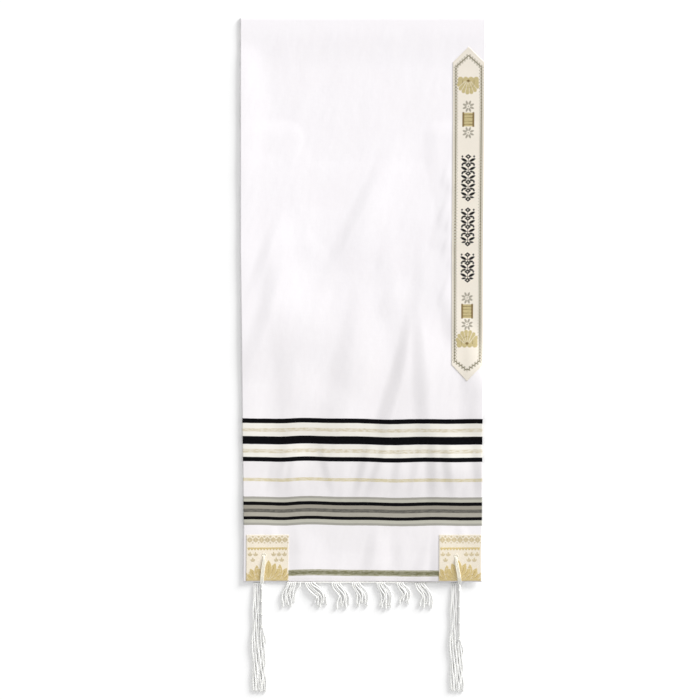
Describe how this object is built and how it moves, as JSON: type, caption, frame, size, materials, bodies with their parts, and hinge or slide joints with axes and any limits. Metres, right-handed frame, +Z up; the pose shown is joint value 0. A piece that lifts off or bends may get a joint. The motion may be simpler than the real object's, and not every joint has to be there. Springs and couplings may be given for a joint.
{
  "type": "tallit prayer shawl",
  "caption": "White woven prayer shawl laid flat with its far end folded under, with a neckband, satin corner patches, knotted corner tassels and a hem fringe.",
  "frame": {"origin": "on the surface it lies on, under the middle of the bounding box", "axes": "+X across the cloth to the right, +Y along it from the hem to the fold, +Z up"},
  "size_m": [0.6102, 1.6823, 0.0125],
  "materials": {
    "cloth": "soft plain weave, matt white with woven black, grey, gold and olive stripes",
    "neckband": "woven cream band with gold and black ornament",
    "satin": "cream satin with gold brocade",
    "thread": "twisted off-white thread"
  },
  "bodies": {
    "root": {"body_cloth": "cloth", "atarah": "neckband", "corner_patch_hem_left": "satin", "corner_patch_hem_right": "satin", "corner_patch_far_left": "satin", "corner_patch_far_right": "satin", "tzitzit_hem_left": "thread", "tzitzit_hem_right": "thread", "tzitzit_far_left": "thread", "tzitzit_far_right": "thread", "fringe_hem": "thread", "fringe_far": "thread"}
  },
  "joints": []
}
